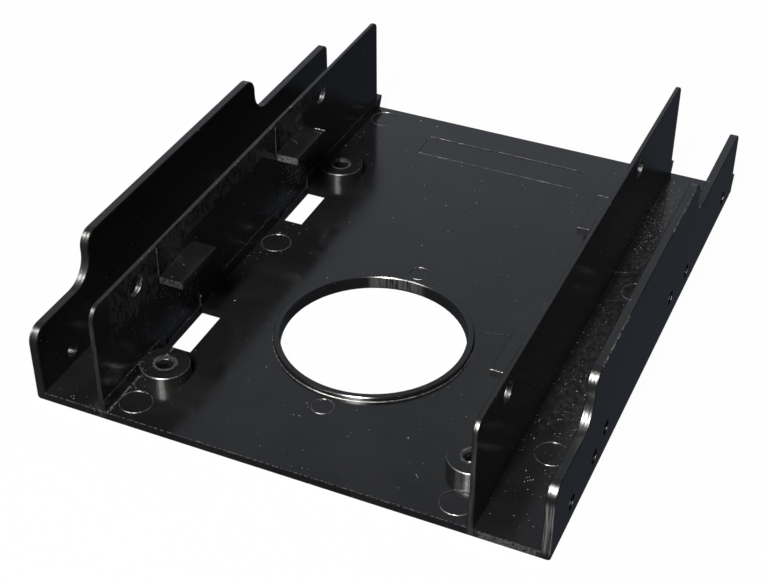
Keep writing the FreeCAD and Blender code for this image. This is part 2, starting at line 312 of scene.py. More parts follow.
    def surface(self, colour: Wire, rough: Wire, refraction: float, height: Wire) -> None:
        """Finish a plastic's material with its shader, its bump and its output.

        Args:
            colour: wire of the base colour.
            rough: wire of the roughness.
            refraction: the index of refraction.
            height: wire of the bump's height in millimetres.
        """
        bump = self.place("ShaderNodeBump")
        self.feed(bump.inputs["Distance"], MM)
        self.feed(bump.inputs["Height"], height)
        shader = self.place("ShaderNodeBsdfPrincipled")
        self.feed(shader.inputs["Base Color"], colour)
        self.feed(shader.inputs["Roughness"], rough)
        self.feed(shader.inputs["IOR"], refraction)
        self.feed(shader.inputs["Normal"], bump.outputs["Normal"])
        end = self.place("ShaderNodeOutputMaterial")
        self.feed(end.inputs["Surface"], shader.outputs[0])


def new_material(name: str) -> tuple[bpy.types.Material, Wiring]:
    """Make an empty material.

    Args:
        name: the material's name.

    Returns:
        The material and the wiring of its nodes.
    """
    material = bpy.data.materials.new(name)
    material.use_nodes = True
    material.node_tree.nodes.clear()
    return material, Wiring(material.node_tree)


class SurfacePoint:
    """A point on a piece, with its place in millimetres and its direction as wires of one material."""

    def __init__(self, wiring: Wiring) -> None:
        """Read the point from the piece's own coordinates.

        Args:
            wiring: the material's wiring.
        """
        spot = wiring.place("ShaderNodeTexCoord")
        self.wiring = wiring
        self.place = wiring.vector("SCALE", spot.outputs["Object"], MM_PER_METRE)
        x, self.y, self.z = wiring.split(self.place)
        self.across = wiring.number("ABSOLUTE", x)
        self.normal = wiring.split(spot.outputs["Normal"])
        self.facing = [wiring.number("ABSOLUTE", part) for part in self.normal]


class Effect:
    """A shader node group with named inputs and outputs, built once and placed where it is needed."""

    def __init__(self, name: str) -> None:
        """Make an empty group.

        Args:
            name: the group's name.
        """
        self.tree = bpy.data.node_groups.new(name, "ShaderNodeTree")
        self.wiring = Wiring(self.tree)
        self.entry = self.wiring.place("NodeGroupInput")
        self.exit = self.wiring.place("NodeGroupOutput")

    def takes(self, name: str, kind: SocketKind, value: object = None) -> Wire:
        """Add an input.

        Args:
            name: the input's name.
            kind: whether it is a number or a vector.
            value: what it is where nothing is joined to it.

        Returns:
            The wire that brings the input into the group.
        """
        socket = self.tree.interface.new_socket(name, in_out="INPUT", socket_type=kind.value)
        if value is not None:
            socket.default_value = value
        return self.entry.outputs[name]

    def gives(self, name: str, wire: Wire) -> None:
        """Add an output of numbers and join a wire to it."""
        self.tree.interface.new_socket(name, in_out="OUTPUT", socket_type=SocketKind.VALUE.value)
        self.wiring.feed(self.exit.inputs[name], wire)

    def use(self, wiring: Wiring, output: str, **inputs: object) -> Wire:
        """Place the group in a material.

        Args:
            wiring: the material's wiring.
            output: the name of the output that is wanted.
            inputs: wires or values by input name, with low lines for spaces.

        Returns:
            The wire of that output.
        """
        node = wiring.place("ShaderNodeGroup", node_tree=self.tree)
        for name, value in inputs.items():
            wiring.feed(node.inputs[name.replace("_", " ")], value)
        return node.outputs[output]


@dataclass(frozen=True)
class Stroke:
    """A scratch or burr line on the tray, or a pale line or dot that paints a highlight or a glint, in
    millimetres.
    """

    start: Triple
    end: Triple
    width: float
    strength: float


@dataclass(frozen=True)
class Area:
    """A block of the tray, by its middle and by its reach along X, Y and Z, in millimetres."""

    centre: Triple
    reach: Triple


@dataclass(frozen=True)
class PalePatch(Area):
    """An area that is painted paler: rubbed or frosted plastic, and on some faces turned to the light a
    painted sheen as well.
    """

    streak: Streak
    facing: Facing
    level: float
    strength: float


@dataclass(frozen=True)
class DustZone(Area):
    """An area in which more dust lies."""

    share: float


class MouldEffects:
    """The marks that moulding, handling and storage leave on the plastic."""

    SMALLEST_GRAIN = 0.3
    FAINTEST_GRAIN = 0.2
    GRAIN_CORE = 0.4
    STROKE_CORE = 0.3
    CLOUD_RANGE: Pair = (0.35, 0.7)

    def __init__(self) -> None:
        """Build each effect group once."""
        self.draw_lines = self._draw_lines()
        self.dust_specks = self._dust_specks()
        self.flow_haze = self._flow_haze()
        self.scuff_and_highlight_stroke = self._scuff_and_highlight_stroke()
        self.soft_block = self._soft_block()

    def within(self, point: SurfacePoint, area: Area) -> Wire:
        """Find an area of the tray.

        Args:
            point: the point on the tray.
            area: the area.

        Returns:
            A mask that is 1 inside the area.
        """
        return self.soft_block.use(
            point.wiring, "Mask", Place=point.place, Centre=area.centre, Reach=area.reach
        )

    @staticmethod
    def _draw_lines() -> Effect:
        """Lines that the mould draws along one direction, as it opens or as its cutter passed.

        Returns:
            The group, which gives a height from about 0 to 1.
        """
        effect = Effect("draw_lines")
        wiring = effect.wiring
        place = effect.takes("Place", SocketKind.VECTOR)
        waves = effect.takes("Waves", SocketKind.VECTOR, (1.0, 1.0, 1.0))
        stretched = wiring.vector("MULTIPLY", place, waves)
        effect.gives("Height", wiring.grain(stretched, 1.0, detail=3.0))
        return effect

    @classmethod
    def _dust_specks(cls) -> Effect:
        """Fine pale dust, at most one grain to a cell.

        Returns:
            The group, which gives a mask that is 1 on a grain.
        """
        effect = Effect("dust_specks")
        wiring = effect.wiring
        place = effect.takes("Place", SocketKind.VECTOR)
        cell = effect.takes("Cells per mm", SocketKind.VALUE, 2.5)
        share = effect.takes("Share", SocketKind.VALUE, 0.01)
        radius = effect.takes("Radius", SocketKind.VALUE, 0.1)
        cells = wiring.place("ShaderNodeTexVoronoi", voronoi_dimensions="3D", feature="F1")
        wiring.feed(cells.inputs["Vector"], place)
        wiring.feed(cells.inputs["Scale"], cell)
        pick = wiring.place("ShaderNodeSeparateColor")
        wiring.feed(pick.inputs[0], cells.outputs["Color"])
        least = cls.SMALLEST_GRAIN
        size = wiring.number("MULTIPLY_ADD", pick.outputs[1], 1.0 - least, least)
        reach = wiring.every(radius, cell, size)
        core = wiring.number("MULTIPLY", reach, cls.GRAIN_CORE)
        near = wiring.fade(cells.outputs["Distance"], core, reach)
        kept = wiring.number("LESS_THAN", pick.outputs[0], share)
        faint = cls.FAINTEST_GRAIN
        pale = wiring.number("MULTIPLY_ADD", pick.outputs[2], 1.0 - faint, faint)
        effect.gives("Mask", wiring.every(near, kept, pale))
        return effect

    @classmethod
    def _flow_haze(cls) -> Effect:
        """Soft cloudy streaks where the plastic flowed and cooled.

        Returns:
            The group, which gives a haze from 0 to 1.
        """
        effect = Effect("flow_haze")
        wiring = effect.wiring
        place = effect.takes("Place", SocketKind.VECTOR)
        scale = effect.takes("Waves per mm", SocketKind.VALUE, 0.06)
        cloud = wiring.grain(place, scale, detail=2.0, distortion=1.5)
        effect.gives("Haze", wiring.step(cloud, *cls.CLOUD_RANGE))
        return effect

    @classmethod
    def _scuff_and_highlight_stroke(cls) -> Effect:
        """One stroke of a scratch, a burr or a painted highlight between two points.

        Returns:
            The group, which gives a mask that is at full strength in the middle of the stroke.
        """
        effect = Effect("scuff_and_highlight_stroke")
        wiring = effect.wiring
        place = effect.takes("Place", SocketKind.VECTOR)
        start = effect.takes("Start", SocketKind.VECTOR)
        end = effect.takes("End", SocketKind.VECTOR)
        width = effect.takes("Width", SocketKind.VALUE, 0.2)
        strength = effect.takes("Strength", SocketKind.VALUE, 1.0)
        run = wiring.vector("SUBTRACT", end, start)
        offset = wiring.vector("SUBTRACT", place, start)
        along = wiring.vector("DOT_PRODUCT", offset, run)
        share = wiring.number("DIVIDE", along, wiring.vector("DOT_PRODUCT", run, run), clamp=True)
        apart = wiring.vector("DISTANCE", offset, wiring.vector("SCALE", run, share))
        core = wiring.number("MULTIPLY", width, cls.STROKE_CORE)
        effect.gives("Mask", wiring.fade(apart, core, width, strength))
        return effect

    @staticmethod
    def _soft_block() -> Effect:
        """A soft-edged block of the tray, in which the plastic is rubbed, frosted, dusty or painted with
        sheen.

        Returns:
            The group, which gives a mask that is 1 inside the block.
        """
        effect = Effect("soft_block")
        wiring = effect.wiring
        place = effect.takes("Place", SocketKind.VECTOR)
        centre = effect.takes("Centre", SocketKind.VECTOR)
        reach = effect.takes("Reach", SocketKind.VECTOR, (1.0, 1.0, 1.0))
        softness = effect.takes("Softness", SocketKind.VALUE, 0.3)
        offset = wiring.vector("DIVIDE", wiring.vector("SUBTRACT", place, centre), reach)
        edge = wiring.any(*wiring.split(wiring.vector("ABSOLUTE", offset)))
        effect.gives("Mask", wiring.fade(edge, wiring.number("SUBTRACT", 1.0, softness), 1.0))
        return effect


STROKES: tuple[Stroke, ...] = (
    # Scuffs round the drive holes and above the rear tab of the left inner wall
    Stroke((LEFT_FACE, -51.1, 19.6), (LEFT_FACE, -50.4, 17.0), 0.35, 0.55),
    Stroke((LEFT_FACE, -49.6, 18.9), (LEFT_FACE, -48.5, 15.9), 0.40, 0.60),
    Stroke((LEFT_FACE, -48.2, 18.3), (LEFT_FACE, -47.7, 15.2), 0.35, 0.45),
    Stroke((LEFT_FACE, -50.9, 22.6), (LEFT_FACE, -49.3, 24.0), 0.45, 0.40),
    Stroke((LEFT_FACE, -45.9, 23.2), (LEFT_FACE, -43.8, 24.4), 0.40, 0.35),
    Stroke((LEFT_FACE, 16.4, 23.9), (LEFT_FACE, 18.6, 22.4), 0.35, 0.45),
    # Pale lines at the wall's foot and along the front, partly painted highlights
    # Left inner wall's foot: partly whitening, partly a painted highlight of the foot
    Stroke((-34.95, FRONT, 1.85), (-34.95, -49.5, 1.85), 0.26, 1.00),
    # Floor's front top edge: a painted highlight of that edge
    Stroke((-48.2, FRONT, 1.78), (35.2, FRONT, 1.78), 0.20, 0.70),
    # Parting line along the front of the right channel
    Stroke((36.9, FRONT, 1.42), (48.4, FRONT, 1.48), 0.16, 0.75),
    # Worn edges and chips of the tabs
    Stroke((30.35, -39.5, TAB_TOP), (30.35, -29.0, TAB_TOP), 0.16, 0.50),
    Stroke((-30.4, -39.3, TAB_TOP), (-30.4, -27.0, TAB_TOP), 0.13, 0.35),
    Stroke((-30.5, 19.3, TAB_TOP), (-32.1, 19.7, TAB_TOP), 0.26, 0.45),
    Stroke((-33.9, -33.6, TAB_TOP), (-33.1, -34.3, TAB_TOP), 0.24, 0.85),
    Stroke((-33.2, -38.6, TAB_TOP), (-33.2, -38.4, TAB_TOP), 0.26, 0.90),
    Stroke((-34.8, 14.5, TAB_TOP), (-33.5, 13.8, TAB_TOP), 0.20, 0.70),
    # Scratches on the floor, in the right channel and at the lip
    Stroke((18.2, -11.2, FLOOR), (23.6, -9.9, FLOOR), 0.12, 0.40),
    Stroke((39.3, -27.6, FLOOR), (41.0, -26.6, FLOOR), 0.14, 0.40),
    Stroke((41.0, -26.6, FLOOR), (42.8, -26.6, FLOOR), 0.14, 0.40),
    Stroke((38.5, -16.3, FLOOR), (38.6, -14.0, FLOOR), 0.14, 0.45),
    Stroke((39.2, -17.7, FLOOR), (39.3, -15.4, FLOOR), 0.14, 0.40),
    Stroke((36.6, 18.7, FLOOR), (38.6, 19.5, FLOOR), 0.20, 0.65),
    Stroke((0.2, -6.4, FLOOR), (1.9, -5.9, FLOOR), 0.30, 0.80),
    # Nicks and worn edges of the right inner wall and the left outer wall, and painted highlights and a
    # glint
    Stroke((36.45, -53.4, 24.5), (36.45, -50.2, 23.2), 0.30, 0.45),
    # Painted highlights along the top outer edge of the right outer wall
    Stroke((50.12, -42.2, 25.18), (50.12, -24.5, 25.18), 0.24, 1.00),
    Stroke((50.12, 3.8, 25.18), (50.12, 19.8, 25.18), 0.24, 1.00),
    Stroke((-48.45, -0.8, 25.1), (-48.45, -0.4, 25.0), 0.30, 1.00),
    # A painted glint at the rim of a screw hole in the left outer wall
    Stroke((-48.4, -50.7, 3.9), (-48.4, -50.2, 3.7), 0.30, 1.00),
    # Torn spots on the tops of the bosses
    Stroke((-31.8, -45.0, BOSS_TOP), (-31.6, -44.0, BOSS_TOP), 0.18, 1.00),
    Stroke((-31.6, -44.0, BOSS_TOP), (-31.7, -42.6, BOSS_TOP), 0.16, 1.00),
    Stroke((-30.1, -49.0, BOSS_TOP), (-29.4, -48.6, BOSS_TOP), 0.20, 0.90),
    Stroke((-29.0, -48.2, BOSS_TOP), (-28.6, -46.6, BOSS_TOP), 0.16, 0.80),
    Stroke((-31.8, 31.6, BOSS_TOP), (-31.2, 31.9, BOSS_TOP), 0.20, 0.90),
    Stroke((-30.6, 27.9, BOSS_TOP), (-29.8, 28.2, BOSS_TOP), 0.20, 0.80),
)

PALE_PATCHES: tuple[PalePatch, ...] = (
    # Walls and floor seen from the front: frosting, whose paler tone also paints the sheen these faces
    # catch
    PalePatch((49.3, FRONT, 7.0), (1.0, 0.6, 6.3), Streak.UPRIGHT, Facing.FRONT, 0.47, 1.00),
    PalePatch((42.6, FRONT, 0.9), (6.3, 0.6, 1.1), Streak.FROSTED, Facing.FRONT, 0.50, 0.70),
    PalePatch((35.95, FRONT, 11.0), (0.7, 0.6, 13.0), Streak.UPRIGHT, Facing.FRONT, 0.47, 0.25),
    PalePatch((-35.95, FRONT, 11.0), (0.7, 0.6, 13.0), Streak.UPRIGHT, Facing.FRONT, 0.50, 0.22),
    # Bay face of the left inner wall
    PalePatch((LEFT_FACE, -14.0, 22.7), (0.6, 46.0, 2.8), Streak.MOTTLED, Facing.SIDE, 0.50, 0.22),
    PalePatch((LEFT_FACE, -48.0, 20.0), (0.6, 9.5, 6.0), Streak.MOTTLED, Facing.SIDE, 0.52, 0.26),
    PalePatch((LEFT_FACE, -34.6, 21.3), (0.6, 5.0, 3.8), Streak.MOTTLED, Facing.SIDE, 0.46, 0.30),
    PalePatch((LEFT_FACE, 15.4, 21.3), (0.6, 5.8, 3.8), Streak.MOTTLED, Facing.SIDE, 0.45, 0.30),
    # Front ends of the tabs, rear of the lip and right channel
    PalePatch((-32.9, -39.35, 16.95), (2.8, 0.4, 1.0), Streak.FROSTED, Facing.FRONT, 0.50, 0.38),
    PalePatch((-32.9, 8.15, 16.95), (2.8, 0.4, 1.0), Streak.FROSTED, Facing.FRONT, 0.46, 0.85),
    # Rear wall of the lip: pale streaks that also paint the highlight this wall catches
    PalePatch((-3.4, -3.2, 1.6), (7.0, 1.9, 1.6), Streak.UPRIGHT, Facing.FRONT, 0.46, 0.55),
    PalePatch((42.4, 10.0, FLOOR), (6.2, 50.0, 0.3), Streak.MOTTLED, Facing.ANY, 0.52, 0.10),
)

DUST_ZONES: tuple[DustZone, ...] = (
    # Right channel, and the rear of its floor
    DustZone((42.4, -0.6, 12.0), (8.0, 62.0, 14.0), 0.150),
    DustZone((39.6, 42.0, 2.5), (4.4, 18.0, 3.0), 0.450),
    # Foot and bay face of the left inner wall
    DustZone((-34.2, -20.0, 2.8), (3.6, 45.0, 3.0), 0.090),
    DustZone((LEFT_FACE, -4.0, 14.0), (0.6, 62.0, 13.0), 0.600),
    # Front of the left channel
    DustZone((-38.0, -52.0, 9.0), (6.4, 12.0, 12.0), 0.090),
    # Outer face of the right inner wall
    DustZone((36.45, -0.6, 12.5), (0.5, 62.0, 12.5), 0.400),
)


@dataclass(frozen=True)
class TrayFaces:
    """Finds the faces of the tray by their place, in millimetres, and by the way they look."""

    point: SurfacePoint
    inner_wall: Pair = (35.35, 36.55)
    outer_wall: Pair = (48.3, 50.3)
    wall_softness: float = 0.05
    facing_range: Pair = (0.60, 0.85)
    edge_range: Pair = (0.3, 0.7)
    upright_range: Pair = (0.8, 0.95)
    rounded_range: Pair = (0.90, 0.985)
    boss_reach: float = 5.1
    boss_softness: float = 0.1

    def looks(self) -> dict[Facing, object]:
        """Find the ways in which a face looks.

        Returns:
            A mask for each way.
        """
        wiring = self.point.wiring
        low, high = self.facing_range
        return {
            Facing.ANY: 1.0,
            Facing.FRONT: wiring.fade(self.point.normal[1], -high, -low),
            Facing.SIDE: wiring.step(self.point.facing[0], low, high),
        }

    def inner_walls(self) -> Wire:
        """Give a mask that is 1 on the two inner walls."""
        return self.point.wiring.band(self.point.across, *self.inner_wall, self.wall_softness)

    def wall_edges(self) -> Wire:
        """Find the tops, ends and shoulders of the four walls.

        Returns:
            A mask that is 1 on those faces.
        """
        wiring = self.point.wiring
        outer = wiring.band(self.point.across, *self.outer_wall, self.wall_softness)
        walls = wiring.any(self.inner_walls(), outer)
        return wiring.every(walls, wiring.fade(self.point.facing[0], *self.edge_range))

    def rounded(self) -> Wire:
        """Find the places where a wall's edge turns a corner.

        Returns:
            A mask that is 1 there.
        """
        wiring = self.point.wiring
        _, front, top = self.point.facing
        off_front = wiring.fade(front, *self.rounded_range)
        return wiring.every(off_front, wiring.fade(top, *self.rounded_range))

    def boss_gap(self) -> Wire:
        """Measure how far a place is from the axis of the nearest boss.

        Returns:
            The distance in millimetres.
        """
        wiring = self.point.wiring
        across = wiring.number("SUBTRACT", self.point.across, BOSS_ACROSS)
        gaps = []
        for along in BOSS_ALONG:
            gaps.append(wiring.length(across, wiring.number("SUBTRACT", self.point.y, along)))
        return wiring.number("MINIMUM", *gaps)

    def boss_sides(self, boss_gap: Wire) -> Wire:
        """Find the sides of the bosses.

        Args:
            boss_gap: the distance from the nearest boss's axis.

        Returns:
            A mask that is 1 on those faces.
        """
        wiring = self.point.wiring
        boss = wiring.fade(boss_gap, self.boss_reach, self.boss_reach + self.boss_softness)
        return wiring.every(boss, wiring.fade(self.point.facing[2], *self.upright_range))


@dataclass(frozen=True)
class Wear:
    """Scratches, rubbed areas, worn boss rims and torn drive holes, in millimetres; some strokes,
    patches and rim bands also paint highlights and sheen.
    """

    wander_waves: float = 0.8
    wander: float = 0.18
    break_waves: float = 1.6
    break_range: Pair = (0.40, 0.62)
    streak_softness: float = 0.16
    rim: Pair = (4.50, 4.80)
    rim_softness: float = 0.06
    rim_height: Pair = (4.2, 4.38)
    rim_height_softness: float = 0.02
    rim_least: float = 0.25
    rim_strength: float = 0.40
    hole_height: float = 20.95
    hole_reach: float = 2.25
    hole_softness: float = 0.15
    hole_strength: float = 0.45

    def mask(
        self, effects: MouldEffects, faces: TrayFaces, looks: dict[Facing, object], boss_gap: Wire
    ) -> Wire:
        """Add up all wear, with the painted highlights and sheen.

        Args:
            effects: the shared effect groups.
            faces: the tray's faces.
            looks: masks of the ways in which a face looks.
            boss_gap: the distance from the nearest boss's axis.

        Returns:
            A mask of how far the plastic is painted pale, by wear and by painted highlights and sheen.
        """
        wiring = faces.point.wiring
        grain = wiring.grain(faces.point.place, self.break_waves, detail=3.0)
        broken = wiring.step(grain, *self.break_range)
        worn = wiring.every(self._scratches_and_highlights(effects, faces.point), broken)
        worn = wiring.any(worn, self._pale_patches(effects, faces.point, looks))
        worn = wiring.any(worn, self._rims(faces.point, boss_gap, broken))
        return wiring.any(worn, self._torn_holes(faces, broken))

    def _scratches_and_highlights(self, effects: MouldEffects, point: SurfacePoint) -> Wire:
        """Draw the strokes, a little shaken.

        Args:
            effects: the shared effect groups.
            point: the point on the tray.

        Returns:
            A mask of the strokes.
        """
        wiring = point.wiring
        noise = wiring.place("ShaderNodeTexNoise")
        wiring.feed(noise.inputs["Vector"], point.place)
        wiring.feed(noise.inputs["Scale"], self.wander_waves)
        drift = wiring.vector("SUBTRACT", noise.outputs["Color"], NOISE_MIDDLE)
        shaken = wiring.vector("ADD", point.place, wiring.vector("SCALE", drift, self.wander))
        worn = 0.0
        for stroke in STROKES:
            mask = effects.scuff_and_highlight_stroke.use(
                wiring,
                "Mask",
                Place=shaken,
                Start=stroke.start,
                End=stroke.end,
                Width=stroke.width,
                Strength=stroke.strength,
            )
            worn = wiring.any(worn, mask)
        return worn

    def _pale_patches(self, effects: MouldEffects, point: SurfacePoint, looks: dict[Facing, object]) -> Wire:
        """Lay the rubbed and frosted areas, and the paler patches that paint sheen and highlights.

        Args:
            effects: the shared effect groups.
            point: the point on the tray.
            looks: masks of the ways in which a face looks.

        Returns:
            A mask of the areas.
        """
        wiring = point.wiring
        streaks = {}
        for kind in Streak:
            streaks[kind] = wiring.grain(wiring.vector("MULTIPLY", point.place, kind.value), 1.0)
        worn = 0.0
        for area in PALE_PATCHES:
            block = effects.within(point, area)
            low = area.level - self.streak_softness
            high = area.level + self.streak_softness
            streak = wiring.step(streaks[area.streak], low, high)
            worn = wiring.any(worn, wiring.every(block, streak, looks[area.facing], area.strength))
        return worn

    def _rims(self, point: SurfacePoint, boss_gap: Wire, broken: Wire) -> Wire:
        """Wear the upper rims of the bosses, with a pale band that also paints the highlight of their
        bevels.

        Args:
            point: the point on the tray.
            boss_gap: the distance from the nearest boss's axis.
            broken: mask that breaks the wear up.

        Returns:
            A mask of the rims.
        """
        wiring = point.wiring
        round_rim = wiring.band(boss_gap, *self.rim, self.rim_softness)
        level = wiring.band(point.z, *self.rim_height, self.rim_height_softness)
        return wiring.every(round_rim, level, wiring.mix(broken, self.rim_least, 1.0), self.rim_strength)

    def _torn_holes(self, faces: TrayFaces, broken: Wire) -> Wire:
        """Tear the rims of the drive holes in the inner walls.

        Args:
            faces: the tray's faces.
            broken: mask that breaks the wear up.

        Returns:
            A mask of the rims.
        """
        point = faces.point
        wiring = point.wiring
        walls = wiring.every(faces.inner_walls(), broken, self.hole_strength)
        rise = wiring.number("SUBTRACT", point.z, self.hole_height)
        torn = 0.0
        for along in BOSS_ALONG:
            apart = wiring.length(wiring.number("SUBTRACT", point.y, along), rise)
            rim = wiring.fade(apart, self.hole_reach, self.hole_reach + self.hole_softness)
            torn = wiring.any(torn, rim)
        return wiring.every(torn, walls)


@dataclass(frozen=True)
class Grains:
    """Dust grains of one size, by how many cells fit in a millimetre and by a grain's radius."""

    cells: float
    radius: float

    def scatter(self, effects: MouldEffects, point: SurfacePoint, share: object) -> Wire:
        """Put a grain in a share of the cells.

        Args:
            effects: the shared effect groups.
            point: the point on the tray.
            share: wire or number of the cells that hold a grain.

        Returns:
            A mask that is 1 on a grain.
        """
        return effects.dust_specks.use(
            point.wiring,
            "Mask",
            Place=point.place,
            Cells_per_mm=self.cells,
            Share=share,
            Radius=self.radius,
        )


@dataclass(frozen=True)
class Dust:
    """Dust on the tray: a little everywhere, and more in the dust zones."""

    fine: Grains = Grains(2.6, 0.13)
    coarse: Grains = Grains(1.1, 0.19)
    fine_share: float = 0.014
    coarse_share: float = 0.016
    raised_share: float = 0.160
    grain_height: float = 0.080

    def mask(self, effects: MouldEffects, point: SurfacePoint) -> Wire:
        """Scatter the dust.

        Args:
            effects: the shared effect groups.
            point: the point on the tray.

        Returns:
            A mask that is 1 on a grain of dust.
        """
        wiring = point.wiring
        share = self.fine_share
        for zone in DUST_ZONES:
            share = wiring.number("MULTIPLY_ADD", effects.within(point, zone), zone.share, share)
        fine = self.fine.scatter(effects, point, share)
        return wiring.any(fine, self.coarse.scatter(effects, point, self.coarse_share))

    def height(self, effects: MouldEffects, point: SurfacePoint) -> Wire:
        """Give the height in millimetres of the grains that stand up."""
        raised = self.fine.scatter(effects, point, self.raised_share)
        return point.wiring.number("MULTIPLY", raised, self.grain_height)


@dataclass(frozen=True)
class ToolMarks:
    """Lines that the mould leaves on edges and bosses, and the faint ripple of its faces."""

    edge_waves: Triple = (2.6, 0.05, 0.05)
    side_waves: Triple = (1.8, 1.8, 0.03)
    ripple_waves: float = 0.22
    edge_height: float = 0.020
    corner_height: float = 0.095
    side_height: float = 0.055
    ripple_height: float = 0.012

    def height(self, effects: MouldEffects, faces: TrayFaces, edges: Wire, sides: Wire) -> Wire:
        """Add up the heights of the lines and of the ripple.

        Args:
            effects: the shared effect groups.
            faces: the tray's faces.
            edges: mask of the walls' edges.
            sides: mask of the sides of the bosses.

        Returns:
            The height in millimetres.
        """
        wiring = faces.point.wiring
        place = faces.point.place
        along = effects.draw_lines.use(wiring, "Height", Place=place, Waves=self.edge_waves)
        upward = effects.draw_lines.use(wiring, "Height", Place=place, Waves=self.side_waves)
        ripple = wiring.grain(place, self.ripple_waves, detail=1.0)
        edge_height = wiring.mix(faces.rounded(), self.edge_height, self.corner_height)
        return wiring.total(
            wiring.every(along, edges, edge_height),
            wiring.every(upward, sides, self.side_height),
            wiring.number("MULTIPLY", ripple, self.ripple_height),
        )


@dataclass(frozen=True)
class GlossBlackPlastic:
    """Glossy black moulded plastic with tool marks, flow haze, dust and wear, and pale strokes and
    patches that paint highlights and sheen.
    """

    body_colour: Shade = (0.0078, 0.0078, 0.0082, 1.0)
    haze_colour: Shade = (0.0105, 0.0105, 0.0109, 1.0)
    # Pale colour of wear, also used for painted highlights, glints and sheen
    pale_wear_and_highlight_colour: Shade = (0.130, 0.130, 0.132, 1.0)
    dust_colour: Shade = (0.70, 0.70, 0.68, 1.0)
    gloss: float = 0.14
    haze_gloss: float = 0.22
    wall_gloss: float = 0.25
    side_gloss: float = 0.26
    edge_gloss: float = 0.30
    rubbed_gloss: float = 0.55
    refraction: float = 1.5
    # Wear, and the pale marks that paint highlights and sheen
    wear: Wear = Wear()
    dust: Dust = Dust()
    tool_marks: ToolMarks = ToolMarks()

    def make(self, effects: MouldEffects) -> bpy.types.Material:
        """Wire the material.

        Args:
            effects: the shared effect groups.

        Returns:
            The finished material.
        """
        material, wiring = new_material("gloss_black_plastic")
        point = SurfacePoint(wiring)
        faces = TrayFaces(point)
        looks = faces.looks()
        edges = faces.wall_edges()
        boss_gap = faces.boss_gap()
        sides = faces.boss_sides(boss_gap)
        # Wear, and the pale strokes and patches that paint highlights and sheen
        rubbed = self.wear.mask(effects, faces, looks, boss_gap)
        haze = effects.flow_haze.use(wiring, "Haze", Place=point.place)
        dust = self.dust.mask(effects, point)
        colour = wiring.blend(haze, self.body_colour, self.haze_colour)
        # The pale colour is wear and, on some strokes and patches, painted highlight and sheen
        colour = wiring.blend(rubbed, colour, self.pale_wear_and_highlight_colour)
        colour = wiring.blend(dust, colour, self.dust_colour)
        rough = wiring.mix(haze, self.gloss, self.haze_gloss)
        rough = wiring.mix(looks[Facing.SIDE], rough, self.wall_gloss)
        rough = wiring.mix(edges, rough, self.edge_gloss)
        rough = wiring.mix(sides, rough, self.side_gloss)
        rough = wiring.mix(wiring.any(rubbed, dust), rough, self.rubbed_gloss)
        height = wiring.total(
            self.tool_marks.height(effects, faces, edges, sides),
            self.dust.height(effects, point),
        )
        wiring.surface(colour, rough, self.refraction, height)
        return material


@dataclass(frozen=True)
class FlashPlastic:
    """The thin torn edge that the mould's joints leave: paler and duller than the faces."""

    body_colour: Shade = (0.020, 0.020, 0.021, 1.0)
    torn_colour: Shade = (0.090, 0.090, 0.092, 1.0)
    gloss: float = 0.22
    torn_gloss: float = 0.45
    refraction: float = 1.5
    torn_waves: float = 1.3
    grain_waves: Triple = (3.0, 3.0, 3.0)
    grain_height: float = 0.010

    def make(self, effects: MouldEffects) -> bpy.types.Material:
        """Wire the material.

        Args:
            effects: the shared effect groups.

        Returns:
            The finished material.
        """
        material, wiring = new_material("flash_plastic")
        place = SurfacePoint(wiring).place
        torn = effects.flow_haze.use(wiring, "Haze", Place=place, Waves_per_mm=self.torn_waves)
        grain = effects.draw_lines.use(wiring, "Height", Place=place, Waves=self.grain_waves)
        wiring.surface(
            wiring.blend(torn, self.body_colour, self.torn_colour),
            wiring.mix(torn, self.gloss, self.torn_gloss),
            self.refraction,
            wiring.number("MULTIPLY", grain, self.grain_height),
        )
        return material


